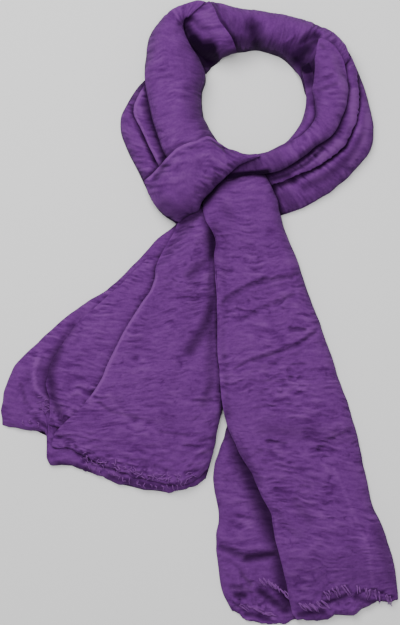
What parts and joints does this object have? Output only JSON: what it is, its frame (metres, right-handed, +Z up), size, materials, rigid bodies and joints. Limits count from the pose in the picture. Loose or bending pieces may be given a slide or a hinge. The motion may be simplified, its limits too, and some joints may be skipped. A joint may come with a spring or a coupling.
{
  "type": "plain scarf",
  "caption": "Plain purple crinkled gauze scarf with frayed hems, wound into a loop, tied with a band and laid flat with both tails spread.",
  "frame": {"origin": "on the table, at the middle of the scarf's footprint", "axes": "+X to the right of the laid scarf, +Y from the tails towards the loop, +Z up off the table"},
  "size_m": [0.3948, 0.6189, 0.06],
  "materials": {
    "gauze": "crinkled purple gauze, matt with a faint sheen on the ridges",
    "loose_threads": "frayed yarn ends of the same purple gauze"
  },
  "bodies": {
    "root": {"tail_left_back": "gauze", "tail_left_middle": "gauze", "tail_left_front": "gauze", "tail_right_back": "gauze", "tail_right_front": "gauze", "loop_right_outer": "gauze", "loop_right_middle": "gauze", "loop_right_inner_roll": "gauze", "loop_right_inner_end": "gauze", "loop_back": "gauze", "loop_inner_fold": "gauze", "loop_left_outer_fold": "gauze", "loop_left_inner_fold": "gauze", "loop_left_roll": "gauze", "knot_wrap": "gauze", "fringe_left_back": "loose_threads", "fringe_left_front": "loose_threads", "fringe_right_back": "loose_threads", "fringe_right_front": "loose_threads"}
  },
  "joints": []
}
